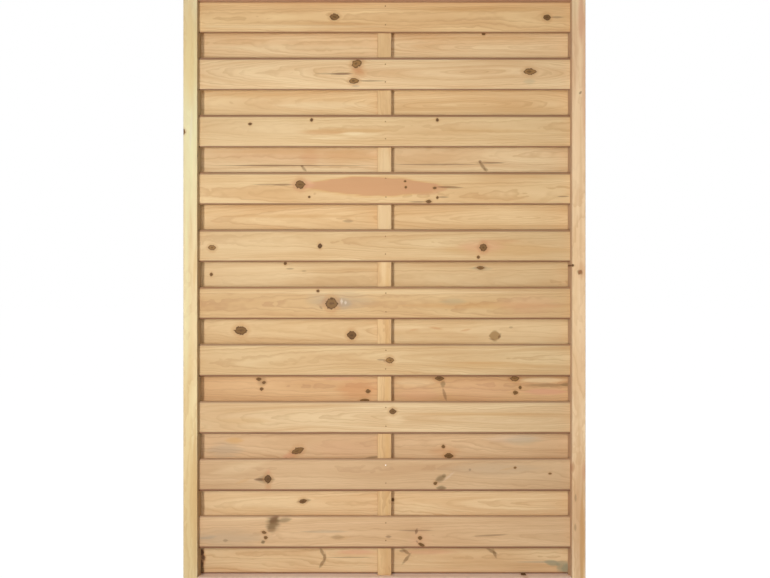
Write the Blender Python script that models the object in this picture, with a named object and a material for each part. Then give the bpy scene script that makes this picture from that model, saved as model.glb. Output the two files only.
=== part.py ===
"""A framed privacy fence panel, in metres, with +Z up.

Two stiles and two rails make a plain frame. Slats lie across it in two layers, one on each side of
an upright middle batten. The slats of one layer cover the gaps of the other and lap over their
edges, so that air passes between the layers and nobody can look through.

The panel faces -Y. The origin is on the left stile's outer face, at half the panel's height, where
a post would hold it.
"""

import math

import bmesh
import bpy
from mathutils import Vector

# Driving dimensions
PANEL_WIDTH = 1.200
STILE_FACE = 0.042  # its width, seen from the front
RAIL_FACE = 0.038
FRAME_ARRIS = 0.002  # radius of the frame's long edges
REVEAL = 0.0177  # from the frame's face back to the slats' face, on both sides
SLAT_COUNT = 20  # both layers together
SLAT_WIDTH = 0.098
SLAT_OVERLAP = 0.0118  # what a slat covers of its neighbour in the other layer
SLAT_THICKNESS = 0.008
SLAT_ARRIS = 0.0035
SLAT_HOUSING = 0.010  # how far a slat's end reaches into a stile
BATTEN_WIDTH = 0.042
BATTEN_THICKNESS = 0.018  # also the air space between the two layers
BATTEN_ARRIS = 0.0015
BATTEN_HOUSING = 0.008  # how far the batten's end reaches into a rail
TENON_LENGTH = 0.020
TENON_WIDTH = 0.022
TENON_THICKNESS = 0.012
CLEARANCE = 0.0003  # between two pieces that touch

# How finely a rounded edge is divided
ARRIS_SEGMENTS = 4
SMOOTH_BELOW = math.radians(30)  # faces that meet at less than this are shaded as one

# What follows from them
SLAT_PITCH = SLAT_WIDTH - SLAT_OVERLAP
OPENING_HEIGHT = SLAT_COUNT * SLAT_PITCH
OPENING_WIDTH = PANEL_WIDTH - 2 * STILE_FACE
PANEL_HEIGHT = OPENING_HEIGHT + 2 * RAIL_FACE
LAYER_INNER = BATTEN_THICKNESS / 2 + CLEARANCE  # from the middle plane to the slats' inner face
LAYER_MIDDLE = LAYER_INNER + SLAT_THICKNESS / 2
FRAME_DEPTH = 2 * (LAYER_INNER + SLAT_THICKNESS + REVEAL)
CENTRE_X = PANEL_WIDTH / 2
RAIL_Z = (OPENING_HEIGHT + RAIL_FACE) / 2  # the top rail's centre line, and the bottom rail's below zero
GROOVE_WIDTH = 2 * (LAYER_INNER + SLAT_THICKNESS + CLEARANCE)  # room for both layers, along a rail
GROOVE_DEPTH = SLAT_OVERLAP / 2 + CLEARANCE

# Colours in sRGB
STILE_COLOUR = "e4ca96"
RAIL_COLOUR = "dcb88c"
FRONT_SLAT_COLOUR = "dcb886"
BACK_SLAT_COLOUR = "d4ae7c"
BATTEN_COLOUR = "dab684"
TIMBER_ROUGHNESS = 0.8


def clear_scene():
    """Remove whatever the file opened with."""
    for thing in list(bpy.data.objects):
        bpy.data.objects.remove(thing, do_unlink=True)


def linear(channel):
    """One sRGB channel as linear light."""
    if channel <= 0.04045:
        return channel / 12.92
    return ((channel + 0.055) / 1.055) ** 2.4


def timber(name, colour):
    """Bare sawn and planed softwood."""
    made = bpy.data.materials.new(name)
    made.use_nodes = True
    surface = made.node_tree.nodes["Principled BSDF"]
    channels = [int(colour[i : i + 2], 16) / 255 for i in (0, 2, 4)]
    surface.inputs["Base Color"].default_value = (*map(linear, channels), 1.0)
    surface.inputs["Roughness"].default_value = TIMBER_ROUGHNESS
    surface.inputs["Metallic"].default_value = 0.0
    return made


def bar_mesh(name, size, arris=0.0):
    """A bar around its own centre, with its four longest edges rounded."""
    shape = bmesh.new()
    bmesh.ops.create_cube(shape, size=1.0)
    bmesh.ops.scale(shape, vec=size, verts=shape.verts)
    if arris > 0:
        longest = max(size)
        along = [edge for edge in shape.edges if math.isclose(edge.calc_length(), longest, rel_tol=1e-4)]
        bmesh.ops.bevel(
            shape,
            geom=along,
            offset=arris,
            segments=ARRIS_SEGMENTS,
            profile=0.5,
            affect="EDGES",
        )
    bmesh.ops.recalc_face_normals(shape, faces=shape.faces)
    mesh = bpy.data.meshes.new(name)
    shape.to_mesh(mesh)
    shape.free()
    mesh.shade_smooth()
    mesh.set_sharp_from_angle(angle=SMOOTH_BELOW)
    return mesh


def place(name, mesh, centre, material=None):
    """Put a mesh into the scene under its name."""
    thing = bpy.data.objects.new(name, mesh)
    thing.location = centre
    if material:
        mesh.materials.clear()
        mesh.materials.append(material)
    bpy.context.scene.collection.objects.link(thing)
    return thing


def guide(name, size, centre):
    """A box that only shapes other pieces, and is no piece itself."""
    thing = place(name, bar_mesh(name, size), centre)
    thing.hide_render = True
    thing.display_type = "WIRE"
    return thing


def pocket(name, size, centre):
    """The room that a piece takes up in its neighbours: its box, grown by the clearance."""
    return guide(f"{name}_pocket", Vector(size) + Vector((2 * CLEARANCE,) * 3), centre)


def combine(target, other, operation):
    """Cut the other shape out of the target, or add it."""
    step = target.modifiers.new(f"{operation.lower()} {other.name}", "BOOLEAN")
    step.operation = operation
    step.solver = "EXACT"
    step.object = other


def slat_centre(index):
    """The centre of a slat, counted from the top: even ones in front, odd ones at the back."""
    side = -1 if index % 2 == 0 else 1
    height = OPENING_HEIGHT / 2 - (index + 0.5) * SLAT_PITCH
    return Vector((CENTRE_X, side * LAYER_MIDDLE, height))


def make_slats():
    """The slats of both layers, and a pocket for each."""
    size = (OPENING_WIDTH + 2 * SLAT_HOUSING, SLAT_THICKNESS, SLAT_WIDTH)
    layers = []
    for layer, colour in (("front_slat", FRONT_SLAT_COLOUR), ("back_slat", BACK_SLAT_COLOUR)):
        layers.append((layer, bar_mesh(layer, size, SLAT_ARRIS), timber(f"{layer}_timber", colour)))
    pockets = []
    for index in range(SLAT_COUNT):
        layer, mesh, material = layers[index % 2]
        name = f"{layer}_{index // 2 + 1:02d}"
        place(name, mesh, slat_centre(index), material)
        pockets.append(pocket(name, size, slat_centre(index)))
    return pockets


def make_batten():
    """The upright batten between the layers, which keeps the slats from bending, and its pocket."""
    size = (BATTEN_WIDTH, BATTEN_THICKNESS, OPENING_HEIGHT + 2 * BATTEN_HOUSING)
    centre = (CENTRE_X, 0, 0)
    mesh = bar_mesh("middle_batten", size, BATTEN_ARRIS)
    place("middle_batten", mesh, centre, timber("batten_timber", BATTEN_COLOUR))
    return pocket("middle_batten", size, centre)


def make_rail(name, side, material, batten_room):
    """A grooved rail between the stiles, with a tenon at each end, and the pocket for its tenons.

    The outermost slat's edge stands in the groove. Side is 1 for the top rail and -1 for the bottom one.
    """
    body_size = (OPENING_WIDTH - 2 * CLEARANCE, FRAME_DEPTH, RAIL_FACE)
    tenon_size = (OPENING_WIDTH + 2 * TENON_LENGTH, TENON_THICKNESS, TENON_WIDTH)
    groove_size = (OPENING_WIDTH, GROOVE_WIDTH, 2 * GROOVE_DEPTH)
    centre = (CENTRE_X, 0, side * RAIL_Z)
    inner_edge = (CENTRE_X, 0, side * OPENING_HEIGHT / 2)
    rail = place(name, bar_mesh(name, body_size, FRAME_ARRIS), centre, material)
    combine(rail, guide(f"{name}_tenons", tenon_size, centre), "UNION")
    combine(rail, guide(f"{name}_groove", groove_size, inner_edge), "DIFFERENCE")
    combine(rail, batten_room, "DIFFERENCE")
    return pocket(f"{name}_tenons", tenon_size, centre)


def make_stile(name, centre_x, material, pockets):
    """An upright of the frame, from top to bottom, with a mortise for each end that it holds."""
    size = (STILE_FACE, FRAME_DEPTH, PANEL_HEIGHT)
    stile = place(name, bar_mesh(name, size, FRAME_ARRIS), (centre_x, 0, 0), material)
    for room in pockets:
        combine(stile, room, "DIFFERENCE")


def build():
    """The whole panel."""
    clear_scene()
    slat_rooms = make_slats()
    batten_room = make_batten()

    rail_timber = timber("rail_timber", RAIL_COLOUR)
    top_tenons = make_rail("top_rail", 1, rail_timber, batten_room)
    bottom_tenons = make_rail("bottom_rail", -1, rail_timber, batten_room)

    stile_timber = timber("stile_timber", STILE_COLOUR)
    rooms = slat_rooms + [top_tenons, bottom_tenons]
    make_stile("left_stile", STILE_FACE / 2, stile_timber, rooms)
    make_stile("right_stile", PANEL_WIDTH - STILE_FACE / 2, stile_timber, rooms)


build()
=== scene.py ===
# %% [markdown]
# # A privacy fence panel in bare pine
#
# The panel is a frame of two stiles and two rails. Slats lie across it in two layers, on the front
# and on the back of an upright batten, and each layer covers the gaps of the other. This notebook
# takes the solid model as a fixed frame and gives it the looks of real timber: boards with rounded
# arrises that aren't perfectly straight, growth rings that run through each board as they do in a
# log, knots, stains and nails.

import math
import random

import bmesh
import bpy
from mathutils import Matrix, Vector


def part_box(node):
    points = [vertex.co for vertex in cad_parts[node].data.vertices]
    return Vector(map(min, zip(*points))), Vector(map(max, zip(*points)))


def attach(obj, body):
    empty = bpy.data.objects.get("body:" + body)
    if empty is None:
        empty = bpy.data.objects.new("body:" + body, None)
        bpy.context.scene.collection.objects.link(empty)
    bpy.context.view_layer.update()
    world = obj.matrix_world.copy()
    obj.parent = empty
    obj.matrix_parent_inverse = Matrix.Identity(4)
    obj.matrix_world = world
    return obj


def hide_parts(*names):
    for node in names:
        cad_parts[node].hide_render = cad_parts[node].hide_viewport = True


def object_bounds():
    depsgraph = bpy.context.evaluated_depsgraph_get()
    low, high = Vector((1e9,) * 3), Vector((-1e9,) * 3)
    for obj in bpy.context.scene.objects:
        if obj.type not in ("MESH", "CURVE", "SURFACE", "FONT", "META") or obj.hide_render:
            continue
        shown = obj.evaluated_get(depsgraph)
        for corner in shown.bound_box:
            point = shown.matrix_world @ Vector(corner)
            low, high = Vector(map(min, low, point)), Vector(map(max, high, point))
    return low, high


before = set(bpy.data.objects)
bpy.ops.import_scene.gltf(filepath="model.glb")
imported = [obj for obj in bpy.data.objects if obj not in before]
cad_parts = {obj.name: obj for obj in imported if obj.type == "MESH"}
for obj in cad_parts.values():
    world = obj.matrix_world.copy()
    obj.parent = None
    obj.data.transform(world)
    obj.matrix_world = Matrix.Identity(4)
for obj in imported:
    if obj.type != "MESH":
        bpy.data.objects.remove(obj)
cad_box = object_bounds()
print("solid model:", [round(side, 4) for side in cad_box[1] - cad_box[0]], "m")

# %% [markdown]
# ## Sizes from the solid model
#
# Nothing is measured twice. The panel's width and height, the depth of its frame and the place of
# every board come from the solid nodes' boxes, so the boards made here lie where the solids are.
# A material works in millimetres, because a carpenter thinks of rings, fibres and knots that way.

# %% Read the sizes
MM = 0.001
OUTWARD = {"front": -1, "back": 1}  # which way along Y a layer's outer face looks
panel_low, panel_high = cad_box
panel_middle = (panel_low + panel_high) / 2
panel_width = panel_high.x - panel_low.x
slats = {side: sorted(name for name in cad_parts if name.startswith(f"{side}_slat"))
         for side in OUTWARD}
batten_low, batten_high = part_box("middle_batten")
stile_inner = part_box("left_stile")[1].x
print(len(slats["front"]), "slats in front,", len(slats["back"]), "behind")

# %% [markdown]
# ## Colours and nodes
#
# Colours are picked as hex values, as a paint card or a web page gives them. Blender's shaders
# calculate with linear light, so one function turns the one into the other.
#
# A material is a small machine of nodes. One helper adds a node, changes its settings and plugs
# something into its inputs: another node, one of its sockets, or a plain value. It takes the node's
# type as Blender writes it, without ShaderNode in front. The settings that come back most often
# have a name of their own: TIMES_PLUS, for one, multiplies input 0 by input 1 and adds input 2.

# %% Helpers for colours and nodes
MIX_A, MIX_B, MIX_RESULT = 6, 7, 2  # the colour sockets of a Mix node
COLOUR_MIX = {"data_type": "RGBA"}
SMOOTH = {"interpolation_type": "SMOOTHSTEP"}
PLUS, MINUS, TIMES, TIMES_PLUS = [
    {"operation": kind} for kind in ("ADD", "SUBTRACT", "MULTIPLY", "MULTIPLY_ADD")]


def linear(hex_colour):
    """An sRGB hex colour as linear RGBA."""
    channels = [int(hex_colour[i : i + 2], 16) / 255 for i in (0, 2, 4)]
    return (*[c / 12.92 if c <= 0.04045 else ((c + 0.055) / 1.055) ** 2.4 for c in channels], 1.0)


def add(tree, kind, settings=None, inputs=None):
    """Add a shader node, with its settings and with what feeds its inputs."""
    node = tree.nodes.new(f"ShaderNode{kind}")
    for name, value in (settings or {}).items():
        setattr(node, name, value)
    for key, value in (inputs or {}).items():
        if isinstance(value, bpy.types.Node):
            value = value.outputs[0]
        if isinstance(value, bpy.types.NodeSocket):
            tree.links.new(value, node.inputs[key])
        else:
            node.inputs[key].default_value = value
    return node


print("mid grey, 808080, is", round(linear("808080")[0], 3), "in linear light")

# %% [markdown]
# ## Slats that aren't perfect bars
#
# A planed board is nearly a bar, but not quite. Its long edges wander by a few tenths of a
# millimetre, it bows a little between the places that hold it, and a cutter has rounded its
# arrises. A bevelled cube could show the rounding but not the wander, so each slat is swept
# instead: the same rounded section is set down at many stations along the board, and each station
# is shifted a little. The shift is zero at the stiles and at the batten, where the slat is held.

# %% A slat's section, and the curves that it follows
ARRIS = 3.5 * MM
ARRIS_STEPS = 5
WAVES = 4  # sine waves that make up one curve
WAVE_SIZES = (0.25, 1.0)
HALF_WAVES = (1.5, 7)  # how many half waves lie along a board


def rounded_section(width, thickness, arris):
    """Points around a rounded rectangle, as pairs of height and depth."""
    points = []
    for quarter in range(4):
        start = quarter * math.pi / 2
        side_z = 1 if quarter in (0, 3) else -1
        side_y = 1 if quarter in (0, 1) else -1
        for step in range(ARRIS_STEPS + 1):
            angle = start + step / ARRIS_STEPS * math.pi / 2
            points.append((
                side_z * (width / 2 - arris) + arris * math.cos(angle),
                side_y * (thickness / 2 - arris) + arris * math.sin(angle),
            ))
    return points


def slow_wave(seed, length):
    """A smooth random curve between -1 and 1 along a board."""
    dice = random.Random(seed)
    waves = [
        (dice.uniform(*WAVE_SIZES), dice.uniform(0, math.tau), dice.uniform(*HALF_WAVES))
        for _ in range(WAVES)
    ]
    total = sum(size for size, _, _ in waves)
    return lambda x: sum(s * math.sin(p + f * math.pi * x / length) for s, p, f in waves) / total


print("a slat's section has", 4 * (ARRIS_STEPS + 1), "points")

# %% [markdown]
# Blender keeps the shape, which is a mesh, apart from the object that puts it somewhere. A mesh is
# built up in a BMesh, point by point and face by face, and is written to the real one when done.

# %% Helpers for meshes
def join_rings(shape, rings):
    """Faces between each ring of points and the next one."""
    for one, other in zip(rings, rings[1:]):
        for i in range(len(one)):
            j = (i + 1) % len(one)
            shape.faces.new((one[i], one[j], other[j], other[i]))


def finished_mesh(name, shape):
    """The shape as a mesh that is shaded smooth, with all its faces turned outwards."""
    bmesh.ops.recalc_face_normals(shape, faces=shape.faces)
    mesh = bpy.data.meshes.new(name)
    shape.to_mesh(mesh)
    shape.free()
    mesh.shade_smooth()
    return mesh


def put_in_scene(name, data):
    """A new object for a mesh, a lamp or a camera."""
    thing = bpy.data.objects.new(name, data)
    bpy.context.scene.collection.objects.link(thing)
    return thing


# %% Sweep the section along every slat
STATION_EVERY = 15 * MM
WANDER = 0.25 * MM
BOW = 0.6 * MM
SHARP_ABOVE = math.radians(40)  # an edge that turns by more than this stays a sharp one
spans = ((stile_inner, batten_low.x), (batten_high.x, panel_high.x - stile_inner))


def freedom(x):
    """How freely a slat can move at x: 0 where it is held, 1 in the middle of a span."""
    for start, end in spans:
        if start < x < end:
            return math.sin(math.pi * (x - start) / (end - start)) ** 2
    return 0.0


def sweep_slat(name, outward, seed):
    """A slat's own mesh in the place of its solid. It bows outwards, away from the batten."""
    low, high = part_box(name)
    middle = (low + high) / 2
    length = high.x - low.x
    section = rounded_section(high.z - low.z, high.y - low.y, ARRIS)
    edge_wave, bow_wave = slow_wave(seed, length), slow_wave(seed + 1, length)
    stations = round(length / STATION_EVERY)
    shape = bmesh.new()
    rings = []
    for station in range(stations + 1):
        x = low.x + length * station / stations
        up = WANDER * freedom(x) * edge_wave(x)
        out = BOW * freedom(x) * (0.5 + 0.5 * bow_wave(x)) * outward
        rings.append([
            shape.verts.new((x, middle.y + y + out, middle.z + z + up)) for z, y in section])
    join_rings(shape, rings)
    for end in (rings[0], rings[-1]):
        shape.faces.new(end)
    mesh = finished_mesh(f"{name}_board", shape)
    mesh.set_sharp_from_angle(angle=SHARP_ABOVE)
    board = put_in_scene(f"{name}_board", mesh)
    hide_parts(name)
    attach(board, "root")
    return board


boards = {name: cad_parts[name] for name in (
    "left_stile", "right_stile", "top_rail", "bottom_rail", "middle_batten")}
for side, first_seed in (("front", 100), ("back", 500)):
    for number, name in enumerate(slats[side]):
        boards[name] = sweep_slat(name, OUTWARD[side], first_seed + 7 * number)
print(len(boards), "boards; a slat has", len(boards["front_slat_01"].data.polygons), "faces")

# %% [markdown]
# ## The space of a knot or a mark
#
# Every knot and every mark is drawn in a space of its own, in which it is always the same shape: a
# lens with pointed ends, lying along the board, with its rim at a distance of 1. A Mapping node
# moves, turns and shrinks the board's millimetres into that space. So one drawing does for all of
# them, as a node group, and each use of the group says only where it is and how large.

# %% Helpers for node groups
def new_group(name, inputs, outputs):
    """An empty node group with its sockets, and its input and output nodes."""
    group = bpy.data.node_groups.new(name, "ShaderNodeTree")
    for side, sockets in (("INPUT", inputs), ("OUTPUT", outputs)):
        for label, kind in sockets.items():
            group.interface.new_socket(label, in_out=side, socket_type=f"NodeSocket{kind}")
    return group, group.nodes.new("NodeGroupInput"), group.nodes.new("NodeGroupOutput")


def own_space(group, given):
    """The position in the knot's or mark's own space, and the distance from its middle there."""
    own = add(group, "Mapping", {"vector_type": "TEXTURE"}, {
        "Vector": given.outputs["Position"], "Location": given.outputs["Place"],
        "Rotation": given.outputs["Turn"], "Scale": given.outputs["Size"]})
    sides = add(group, "SeparateXYZ", {}, {0: own})
    along = add(group, "Math", {"operation": "POWER"}, {0: sides.outputs["X"], 1: 2.0})
    across = add(group, "Math", {"operation": "ABSOLUTE"}, {0: sides.outputs["Y"]})
    return own, add(group, "Math", PLUS, {0: along, 1: across})


print("half way to its tip, a lens is", 1 - 0.5**2, "as wide as in its middle")

# %% [markdown]
# ## A knot
#
# A knot is the stump of a branch that the growing stem has closed around. On a board's face it is a
# brown spot with a dark rim and often a paler heart around a dark core. The wood around it is
# tinged by resin, and the grain bends around it, as water does around a stone.
#
# A picture of a knot would look the same wherever it is used. The group makes the distance from the
# knot's middle a little uneven with noise instead, and finds the zones by that distance. It takes
# in what the knot before it found and passes on the stronger of the two, so knots can be chained.

# %% The zones of a knot
DENTS_MM = 7.0  # how long the dents in a knot's rim are
DENT_DEPTH = 0.45  # and how deep, as a share of the knot's size
POINTED = 0.5  # between 0, an ellipse, and 1, a lens with pointed ends
CORE_PALENESS = 0.4  # what the dark core keeps of the heart's paleness
KNOT_SOCKETS = {"Position": "Vector", "Heart": "Float", "Rim": "Float", "Halo": "Float"}
knot_group, given, made = new_group(
    "knot",
    {**KNOT_SOCKETS, "Place": "Vector", "Turn": "Vector", "Size": "Vector", "Pale": "Float"},
    KNOT_SOCKETS)
own, lens = own_space(knot_group, given)
flat = add(knot_group, "VectorMath", TIMES, {0: own, 1: (1, 1, 0)})
ellipse = add(knot_group, "VectorMath", {"operation": "LENGTH"}, {0: flat})
radius = add(knot_group, "Mix", {}, {0: POINTED, 2: ellipse.outputs["Value"], 3: lens})
noise = add(knot_group, "TexNoise", {}, {
    "Vector": given.outputs["Position"], "Scale": 1 / DENTS_MM, "Detail": 2.0})
dents = add(knot_group, "MapRange", {}, {
    "Value": noise, "To Min": -DENT_DEPTH, "To Max": DENT_DEPTH})
radius = add(knot_group, "Math", PLUS, {0: radius, 1: dents})
# Distances from the middle at which a zone starts and at which it is full; the rim is at 1
zone = {}
for label, start, full, limits in (
    ("Heart", 1.12, 0.88, {}),
    ("pale", 0.95, 0.65, {"To Max": given.outputs["Pale"]}),
    ("core", 0.12, 0.38, {"To Min": CORE_PALENESS}),
    ("Halo", 2.6, 0.8, {}),
):
    zone[label] = add(knot_group, "MapRange", SMOOTH, {
        "Value": radius, "From Min": start, "From Max": full, **limits})
pale = add(knot_group, "Math", TIMES, {0: zone["pale"], 1: zone["core"]})
dark = add(knot_group, "Math", MINUS, {0: 1.0, 1: pale})
zone["Rim"] = add(knot_group, "Math", TIMES, {0: zone["Heart"], 1: dark})
for label in ("Heart", "Rim", "Halo"):
    stronger = add(knot_group, "Math", {"operation": "MAXIMUM"}, {
        0: given.outputs[label], 1: zone[label]})
    knot_group.links.new(stronger.outputs[0], made.inputs[label])
print("zones of a knot:", ", ".join(zone))

# %% [markdown]
# The grain is drawn later from the position that the knots pass on. Near a knot that position is
# pulled towards the knot's height, so a line that would have met the knot passes beside it. The
# pull reaches about four knot lengths along the board, and about two knot widths across it.

# %% Bend the grain around the knot
REACH = (0.3, 0.55, 0.0)  # along and across; the smaller it is, the further the pull reaches
REACH_ENDS = 1.3
STRONGEST_PULL = 0.9
reach = add(knot_group, "VectorMath", TIMES, {0: flat, 1: REACH})
reach = add(knot_group, "VectorMath", {"operation": "LENGTH"}, {0: reach})
pull = add(knot_group, "MapRange", SMOOTH, {
    "Value": reach.outputs["Value"], "From Min": REACH_ENDS, "From Max": 0.0,
    "To Max": STRONGEST_PULL})
offset = add(knot_group, "VectorMath", MINUS, {
    0: given.outputs["Position"], 1: given.outputs["Place"]})
across = add(knot_group, "CombineXYZ", {}, {"Y": pull})
drawn = add(knot_group, "VectorMath", TIMES, {0: offset, 1: across})
bent = add(knot_group, "VectorMath", MINUS, {0: given.outputs["Position"], 1: drawn})
knot_group.links.new(bent.outputs[0], made.inputs["Position"])
print("knot group:", len(knot_group.nodes), "nodes")

# %% [markdown]
# ## A mark
#
# Streaks, resin, blue stain, a dark line along a ring and the reddish heartwood are all areas of
# another colour, long with the grain and narrow across it. One group makes such an area: the lens,
# with an edge that is as soft as needed, frayed by noise that is drawn out along the fibres.

# %% The mark group
FRAY_MM = (60.0, 5.0, 20.0)  # length, width and depth of the frays
FRAY_DEPTH, SOFT_FRAY_DEPTH = 0.35, 1.2  # in a hard edge, and what a soft edge adds
mark_group, given, made = new_group(
    "mark",
    {"Position": "Vector", "Place": "Vector", "Turn": "Vector", "Size": "Vector", "Soft": "Float"},
    {"Mask": "Float"})
own, lens = own_space(mark_group, given)
soft = given.outputs["Soft"]
fray_space = add(mark_group, "VectorMath", {"operation": "DIVIDE"}, {
    0: given.outputs["Position"], 1: FRAY_MM})
frays = add(mark_group, "TexNoise", {}, {"Vector": fray_space, "Scale": 1.0, "Detail": 4.0})
depth = add(mark_group, "Math", TIMES_PLUS, {0: soft, 1: SOFT_FRAY_DEPTH, 2: FRAY_DEPTH})
swing = add(mark_group, "Math", MINUS, {0: frays, 1: 0.5})
uneven = add(mark_group, "Math", TIMES, {0: swing, 1: depth})
radius = add(mark_group, "Math", PLUS, {0: lens, 1: uneven})
outer = add(mark_group, "Math", PLUS, {0: 1.0, 1: soft})
inner = add(mark_group, "Math", MINUS, {0: 1.0, 1: soft})
mask = add(mark_group, "MapRange", SMOOTH, {"Value": radius, "From Min": outer, "From Max": inner})
mark_group.links.new(mask.outputs[0], made.inputs["Mask"])
print("mark group:", len(mark_group.nodes), "nodes")

# %% [markdown]
# ## Growth rings
#
# A board is cut out of a log, and its pattern is where its face cuts the log's rings. So the group
# below builds the log: every point's distance from the pith, the log's middle, says in which year
# it grew. Where the face runs alongside the rings the lines are far apart and close into tall
# arches, because the log leans a little in the board, and at the edges they come close together.
#
# A real log isn't round and straight. Slow noise bends it, a shorter ripple makes the arches lean
# from side to side, and short flames pull the lines out into points along the grain.

# %% Noise along the grain
NOISE_MM = {  # length, width and depth of each noise's grains
    "bend": (520.0, 80.0, 80.0),
    "ripple": (130.0, 26.0, 26.0),
    "flame": (34.0, 16.0, 16.0),
    "drift": (300.0, 45.0, 45.0),
    "fibre": (40.0, 1.0, 1.0),
}
NOISE_DETAIL, FIBRE_DETAIL = 1.0, 2.0
SEED_STEP_MM = (913.0, 377.0, 151.0)  # where the next board's noise is, so that no two are alike
pine_group, given, made = new_group(
    "pine",
    {"Position": "Vector", "Pith": "Vector", "Ring": "Float", "Lean": "Float", "Seed": "Float"},
    {"Latewood": "Float", "Streak": "Float", "Drift": "Float", "Fibre": "Float"})
elsewhere = add(pine_group, "VectorMath", {"operation": "SCALE"}, {
    0: SEED_STEP_MM, "Scale": given.outputs["Seed"]})
shifted = add(pine_group, "VectorMath", PLUS, {0: given.outputs["Position"], 1: elsewhere})
noise = {}  # each one around zero
for label, size_mm in NOISE_MM.items():
    detail = FIBRE_DETAIL if label == "fibre" else NOISE_DETAIL
    space = add(pine_group, "VectorMath", {"operation": "DIVIDE"}, {0: shifted, 1: size_mm})
    grains = add(pine_group, "TexNoise", {}, {"Vector": space, "Scale": 1.0, "Detail": detail})
    noise[label] = add(pine_group, "Math", MINUS, {0: grains, 1: 0.5})
print("kinds of noise in the log:", ", ".join(noise))

# %% Distance from the pith
BEND_UP_MM, BEND_IN_MM, RIPPLE_UP_MM, FLAME_MM = 34.0, 26.0, 9.0, 5.0  # how far noise moves a ring
LEANS_FROM_MM = 600.0  # the place along a board at which its pith is as deep as the log says
place = add(pine_group, "SeparateXYZ", {}, {0: given.outputs["Position"]})
pith = add(pine_group, "SeparateXYZ", {}, {0: given.outputs["Pith"]})
sway = add(pine_group, "Math", TIMES, {0: noise["bend"], 1: BEND_UP_MM})
sway = add(pine_group, "Math", TIMES_PLUS, {0: noise["ripple"], 1: RIPPLE_UP_MM, 2: sway})
height = add(pine_group, "Math", MINUS, {0: place.outputs["Y"], 1: pith.outputs["X"]})
height = add(pine_group, "Math", PLUS, {0: height, 1: sway})
depth = add(pine_group, "Math", MINUS, {0: place.outputs["Z"], 1: pith.outputs["Y"]})
along = add(pine_group, "Math", MINUS, {0: place.outputs["X"], 1: LEANS_FROM_MM})
depth = add(pine_group, "Math", TIMES_PLUS, {0: along, 1: given.outputs["Lean"], 2: depth})
depth = add(pine_group, "Math", TIMES_PLUS, {0: noise["bend"], 1: BEND_IN_MM, 2: depth})
in_log = add(pine_group, "CombineXYZ", {}, {"X": height, "Y": depth})
distance = add(pine_group, "VectorMath", {"operation": "LENGTH"}, {0: in_log}).outputs["Value"]
print("the log's nodes so far:", len(pine_group.nodes))

# %% [markdown]
# Pine grows 3 to 5 mm a year. Each ring is pale in spring and turns slowly into the amber latewood
# of autumn, which ends sharply. Good and bad years follow each other, so the rings aren't equally
# wide, and each one gets its own strength.

# %% Years and seasons
GOOD_YEARS_MM = 19.0  # how much wood grows before good years give way to bad ones
YEARS_SHIFTED = 2.2  # by how many years that moves a ring at most
AUTUMN_STARTS, AUTUMN_FULL = 0.40, 0.90  # as shares of a year
WINTER_STARTS, WINTER_FULL = 0.93, 1.0
FAINTEST_YEAR = 0.25
licked = add(pine_group, "Math", TIMES_PLUS, {0: noise["flame"], 1: FLAME_MM, 2: distance})
years = add(pine_group, "Math", {"operation": "DIVIDE"}, {0: licked, 1: given.outputs["Ring"]})
growth = add(pine_group, "TexNoise", {"noise_dimensions": "1D"}, {
    "W": distance, "Scale": 1 / GOOD_YEARS_MM, "Detail": 1.0})
years = add(pine_group, "Math", TIMES_PLUS, {0: growth, 1: YEARS_SHIFTED, 2: years})
year = add(pine_group, "Math", {"operation": "FLOOR"}, {0: years})
season = add(pine_group, "Math", {"operation": "FRACT"}, {0: years})
autumn = add(pine_group, "MapRange", SMOOTH, {
    "Value": season, "From Min": AUTUMN_STARTS, "From Max": AUTUMN_FULL})
ended = add(pine_group, "MapRange", SMOOTH, {
    "Value": season, "From Min": WINTER_FULL, "From Max": WINTER_STARTS})
late = add(pine_group, "Math", TIMES, {0: autumn, 1: ended})
own_year = add(pine_group, "Math", PLUS, {0: year, 1: given.outputs["Seed"]})
strength = add(pine_group, "TexWhiteNoise", {"noise_dimensions": "1D"}, {"W": own_year})
strength = add(pine_group, "MapRange", {}, {"Value": strength, "To Min": FAINTEST_YEAR})
late = add(pine_group, "Math", TIMES, {0: late, 1: strength})
pine_group.links.new(late.outputs[0], made.inputs["Latewood"])
print("latewood takes up the last", round(1 - AUTUMN_STARTS, 2), "of a ring")

# %% [markdown]
# Fast noise that is 40 times as long as it is wide draws the fibres. A real fibre is thinner than a
# hair, so these are drawn 1 mm wide, coarse enough to show as a faint texture. A broad streak
# pattern follows the rings, and a slow drift lets the whole tone vary along a board.

# %% Streaks, drift and fibres
STREAK_MM = (420.0, 6.5, 1.0)  # length and width; the third one is counted in seeds
STREAK_DETAIL = 2.0
space = add(pine_group, "CombineXYZ", {}, {
    "X": place.outputs["X"], "Y": distance, "Z": given.outputs["Seed"]})
space = add(pine_group, "VectorMath", {"operation": "DIVIDE"}, {0: space, 1: STREAK_MM})
grains = add(pine_group, "TexNoise", {}, {"Vector": space, "Scale": 1.0, "Detail": STREAK_DETAIL})
noise["streak"] = add(pine_group, "Math", MINUS, {0: grains, 1: 0.5})
for label in ("streak", "drift", "fibre"):
    pine_group.links.new(noise[label].outputs[0], made.inputs[label.capitalize()])
print("pine group:", len(pine_group.nodes), "nodes")
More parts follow.
